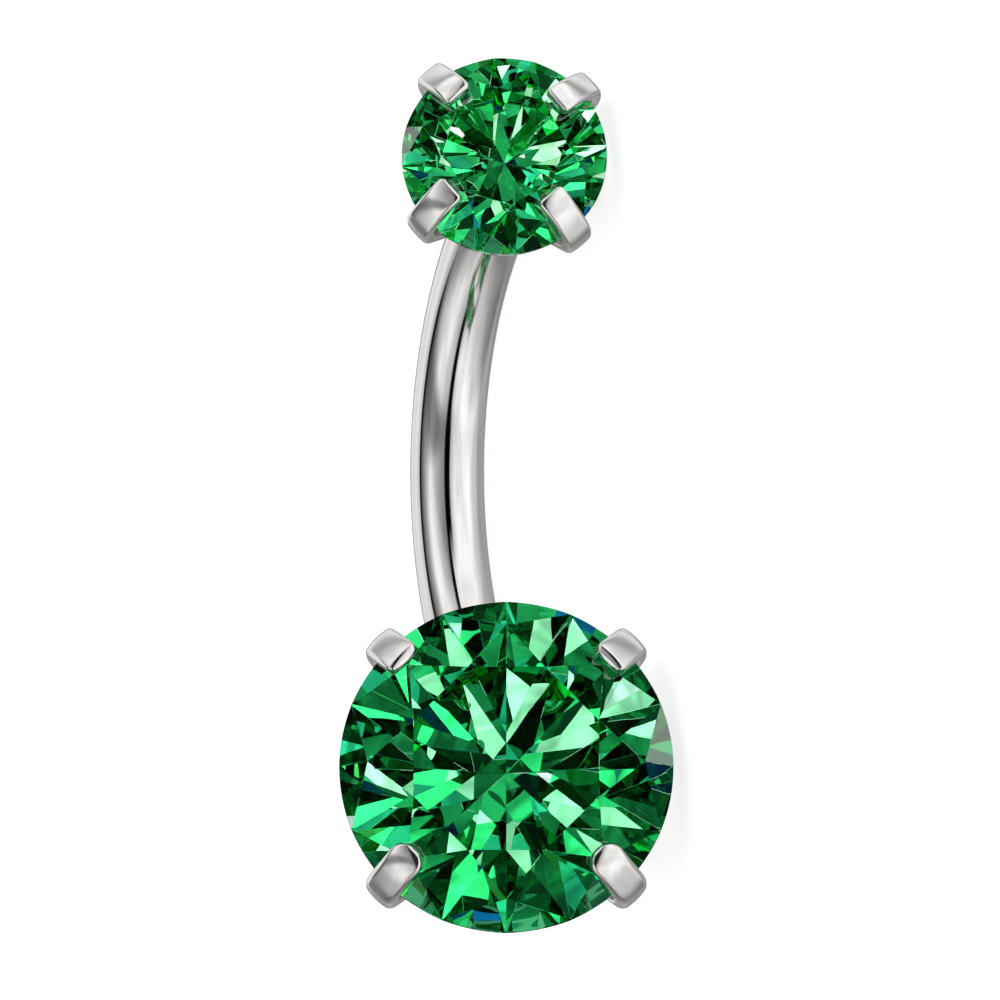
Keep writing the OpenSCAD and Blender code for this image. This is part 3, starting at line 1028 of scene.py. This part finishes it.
@dataclass
class Studio:
    """A pale floor, soft light and the camera.

    The rows level, high and low give a bearing in degrees, 0 at the camera, and
    a light. The fire is what comes out of a stone, and the glints are what its
    surface mirrors.
    """

    floor_colour: str = "#f6f6f6"
    floor_glow: float = 0.72
    floor_r: float = 0.6
    floor_t: float = 0.002
    floor_pole: float = 0.02
    floor_edge: float = 30.0
    floor_steps: int = 96
    backdrop: str = "#fafafa"
    panel_light: float = 1.1
    level: Row = (
        (-180, 0.3), (-165, 0.32), (-150, 0.75), (-140, 0.92), (-128, 0.9), (-98, 0.7),
        (-96, 0.0), (-91, 0.0), (-87, 0.12), (-72, 0.45), (-58, 0.95), (-47, 0.88),
        (-37, 0.62), (-26, 0.38), (-10, 0.25), (-9, 0.0), (7, 0.0), (8, 0.45), (20, 0.85),
        (32, 1.02), (62, 1.04), (74, 1.0), (90, 0.78), (108, 0.45), (133, 0.42),
        (147, 0.3), (180, 0.35))
    high: Row = (
        (-180, 0.7), (-150, 0.8), (-130, 0.8), (-116, 0.5), (-104, 0.42), (-92, 0.7),
        (-80, 0.95), (-58, 1.02), (-45, 1.02), (-33, 0.7), (-20, 0.55), (-13, 0.3),
        (-12, 0.0), (-2, 0.0), (0, 0.85), (20, 1.0), (60, 1.04), (80, 0.95), (92, 0.7),
        (103, 0.42), (112, 0.45), (122, 0.75), (135, 0.9), (150, 0.8), (180, 0.7))
    low: Row = (
        (-180, 0.4), (-150, 0.3), (-120, 0.22), (-100, 0.22), (-86, 0.28), (-72, 0.62),
        (-50, 1.0), (-32, 0.9), (-12, 0.5), (-8, 0.35), (-7, 0.0), (4, 0.0), (6, 0.6),
        (18, 1.0), (40, 1.02), (55, 0.95), (70, 0.78), (88, 0.55), (105, 0.35),
        (125, 0.22), (150, 0.3), (180, 0.4))
    high_fade: Fade = (0.3, 0.6, 0.0, 1.0)
    low_fade: Fade = (-0.22, -0.42, 0.0, 1.0)
    patch_at: Triple = (-0.78, -0.18, 0.6)
    patch_size: Triple = (0.7, 0.18, 1.0)
    patch_fade: Fade = (0.3, 1.1, 0.3, 1.0)
    below_fade: Fade = (-0.95, -0.6, 0.65, 1.0)
    blotch_scale: float = 2.6
    blotch_fade: Fade = (0.35, 0.65, 0.82, 1.1)
    fire_seed: Triple = (0.0, 0.0, 0.0)
    fire_scale: float = 4.5
    fire_power: float = 3.0
    flash_fade: Fade = (0.94, 0.98, 1.85, 3.4)
    cloud_scale: float = 24.0
    cloud_fade: Fade = (0.35, 0.65, 0.5, 1.35)
    flash: Triple = (9.0, 0.62, 2.2)
    hot_fade: Fade = (0.955, 0.98, 0.0, 1.0)
    tints: Stops = (
        (0.0, (0.6, 1.0, 0.9)), (0.58, (1.2, 1.0, 0.5)), (0.67, (0.5, 0.9, 1.3)),
        (0.73, (0.65, 1.0, 0.85)), (0.96, (0.1, 0.4, 3.0)))
    glint_seed: Triple = (3.0, 1.0, 2.0)
    glint_scale: float = 2.6
    glint_fade: Fade = (0.84, 0.9, 0.008, 1.6)

    def camera(self) -> None:
        """A long lens at the photograph's angle, square to the worn ring."""
        data = bpy.data.cameras.new("camera")
        data.lens = LENS_MM
        data.sensor_width = SENSOR_MM
        data.clip_start = 0.01
        data.clip_end = 10.0
        distance = FRAME_PIXELS / PIXELS_PER_MM * LENS_MM / SENSOR_MM * MM
        right, view, up = (rest_direction(v) for v in np.eye(3))
        at = to_rest(FRAME_CENTRE) - distance * view
        camera = bpy.data.objects.new("camera", data)
        turn = np.eye(4)
        turn[:3, 0], turn[:3, 1], turn[:3, 2], turn[:3, 3] = right, up, -view, at
        camera.matrix_world = Matrix(turn.tolist())
        bpy.context.scene.collection.objects.link(camera)
        bpy.context.scene.camera = camera

    def floor(self) -> None:
        """A round, faintly glowing paper floor under the ring."""
        r, pole, low = self.floor_r, self.floor_pole, -self.floor_t
        rings = turned(np.array([[pole, low], [r, low], [r, 0.0], [pole, 0.0]]), self.floor_steps)
        points, faces = skin(rings, on_axis(low), on_axis(0.0))
        floor = place_mesh("paper_floor", points, faces, self.floor_edge)
        material = new_material("matt white paper")
        tree = material.node_tree
        paper = add_node(tree, "BsdfPrincipled", {
            "Base Color": linear(self.floor_colour), "Roughness": 0.9, "Specular IOR Level": 0.0,
            "Emission Color": linear(self.floor_colour), "Emission Strength": self.floor_glow})
        add_node(tree, "OutputMaterial", {"Surface": paper.outputs[0]})
        floor.data.materials.append(material)
        floor.visible_transmission = False
        floor.visible_glossy = False

    def row(self, tree: Tree, share: Socket, stops: Row) -> Socket:
        """A row's light at a bearing, given as a share of a turn that starts behind."""
        ramp = add_node(tree, "ValToRGB", {0: share})
        set_stops(ramp.color_ramp, tuple(((at + 180) / 360, (light,) * 3) for at, light in stops))
        return ramp.outputs[0]

    def panels(self, tree: Tree, where: Socket) -> Socket:
        """The panels that the steel mirrors.

        A direction's bearing is atan2(right, toward), by the worn ring's own
        axes, and is 0 straight in front. The level row of panels gives way to
        the high and the low one as the direction climbs or falls, a soft dark
        patch lies low in front, and it is darker straight below.
        """
        right, up, toward = (
            add_node(tree, "VectorMath", {0: where, 1: rest_direction(way).tolist()},
                     operation="DOT_PRODUCT").outputs["Value"]
            for way in ([1.0, 0.0, 0.0], [0.0, 0.0, 1.0], [0.0, -1.0, 0.0]))
        bearing = add_node(tree, "Math", {0: right, 1: toward}, operation="ARCTAN2")
        share = add_node(tree, "MapRange", {
            "Value": bearing.outputs[0], "From Min": -np.pi, "From Max": np.pi}).outputs[0]
        light = self.row(tree, share, self.level)
        for stops, fade in ((self.high, self.high_fade), (self.low, self.low_fade)):
            much = add_node(tree, "MapRange", {"Value": up, **dict(zip(FADE, fade))},
                            interpolation_type="SMOOTHSTEP")
            row = self.row(tree, share, stops)
            light = add_node(tree, "Mix", {0: much.outputs[0], 6: light, 7: row},
                             data_type="RGBA").outputs[2]
        off = add_node(tree, "CombineXYZ", {0: right, 1: up, 2: toward})
        for way, step in (("SUBTRACT", self.patch_at), ("DIVIDE", self.patch_size)):
            off = add_node(tree, "VectorMath", {0: off.outputs[0], 1: step},
                           operation=way)
        far = add_node(tree, "VectorMath", {0: off.outputs[0]}, operation="LENGTH")
        patch = add_node(tree, "MapRange", {
            "Value": far.outputs["Value"], **dict(zip(FADE, self.patch_fade))},
            interpolation_type="SMOOTHSTEP")
        below = add_node(tree, "MapRange", {
            "Value": up, **dict(zip(FADE, self.below_fade))})
        blotch = add_node(tree, "TexNoise", {
            "Vector": where, "Scale": self.blotch_scale, "Detail": 1.0})
        uneven = add_node(tree, "MapRange", {
            "Value": blotch.outputs[0], **dict(zip(FADE, self.blotch_fade))})
        for dimmer in (patch, below, uneven):
            light = add_node(tree, "Mix", {0: 1.0, 6: light, 7: dimmer.outputs[0]},
                             data_type="RGBA", blend_type="MULTIPLY").outputs[2]
        return light

    def cells(self, tree: Tree, where: Socket, seed: Triple, scale: float) -> bpy.types.NodeOutputs:
        """Three random shares, X, Y and Z, for each of the small lights round the stones."""
        shifted = add_node(tree, "Mapping", {"Vector": where, "Location": seed})
        voronoi = add_node(tree, "TexVoronoi", {
            "Vector": shifted.outputs[0], "Scale": scale})
        return add_node(tree, "SeparateXYZ", {0: voronoi.outputs["Color"]}).outputs

    def fire(self, tree: Tree, where: Socket) -> Socket:
        """The small lights that come out of a stone.

        A light's strength is a power of its share, raised in the strongest and
        made uneven by a cloud. Its tint is one of a few, and the strongest turn
        to the colour of a flash.
        """
        share = self.cells(tree, where, self.fire_seed, self.fire_scale)
        strength = add_node(tree, "Math", {0: share[0], 1: self.fire_power},
                            operation="POWER")
        flash = add_node(tree, "MapRange", {
            "Value": share[0], **dict(zip(FADE, self.flash_fade))})
        cloud = add_node(tree, "TexNoise", {
            "Vector": where, "Scale": self.cloud_scale, "Detail": 1.0})
        uneven = add_node(tree, "MapRange", {
            "Value": cloud.outputs[0], **dict(zip(FADE, self.cloud_fade))})
        for factor in (flash, uneven):
            strength = add_node(tree, "Math", {
                0: strength.outputs[0], 1: factor.outputs[0]}, operation="MULTIPLY")
        tints = add_node(tree, "ValToRGB", {0: share[1]})
        set_stops(tints.color_ramp, self.tints)
        tints.color_ramp.interpolation = "CONSTANT"
        hot = add_node(tree, "MapRange", {
            "Value": share[0], **dict(zip(FADE, self.hot_fade))})
        warm = add_node(tree, "Mix", {
            0: hot.outputs[0], 6: tints.outputs[0], 7: (*self.flash, 1.0)}, data_type="RGBA")
        return add_node(tree, "Background", {
            "Color": warm.outputs[2], "Strength": strength.outputs[0]}).outputs[0]

    def world(self) -> None:
        """The studio round the ring.

        The steel and the floor see long panels. What comes out of a stone has
        seen many small lights with dark between them, and a stone's own mirror
        sees a few soft ones.
        """
        world = bpy.data.worlds.new("studio")
        world.use_nodes = True
        tree = world.node_tree
        tree.nodes.clear()
        where = add_node(tree, "TexCoord").outputs["Generated"]
        rays = add_node(tree, "LightPath").outputs
        seen = add_node(tree, "Background", {
            "Color": self.panels(tree, where), "Strength": self.panel_light}).outputs[0]
        fire = self.fire(tree, where)
        share = self.cells(tree, where, self.glint_seed, self.glint_scale)
        glow = add_node(tree, "MapRange", {
            "Value": share[0], **dict(zip(FADE, self.glint_fade))})
        glint = add_node(tree, "Background", {"Strength": glow.outputs[0]}).outputs[0]
        plain = add_node(tree, "Background", {"Color": linear(self.backdrop)}).outputs[0]
        for kind, light in (("Singular", glint), ("Transmission", fire), ("Camera", plain)):
            seen = add_node(tree, "MixShader", {
                0: rays[f"Is {kind} Ray"], 1: seen, 2: light}).outputs[0]
        add_node(tree, "OutputWorld", {0: seen})
        bpy.context.scene.world = world

    def build(self) -> None:
        """Makes the floor and the light, and sets how light is followed."""
        self.floor()
        self.world()
        scene = bpy.context.scene
        scene.view_settings.view_transform = "Standard"
        scene.view_settings.look = "None"
        cycles = scene.cycles
        cycles.max_bounces = 24
        cycles.transmission_bounces = 20
        cycles.glossy_bounces = 12
        cycles.diffuse_bounces = 4


def main() -> None:
    """Builds the studio's camera, the ring and the light."""
    logging.basicConfig(level=logging.INFO, format="%(name)s: %(message)s")
    studio = Studio()
    studio.camera()
    NavelRing().build()
    studio.build()
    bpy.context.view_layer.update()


if __name__ == "__main__":
    main()
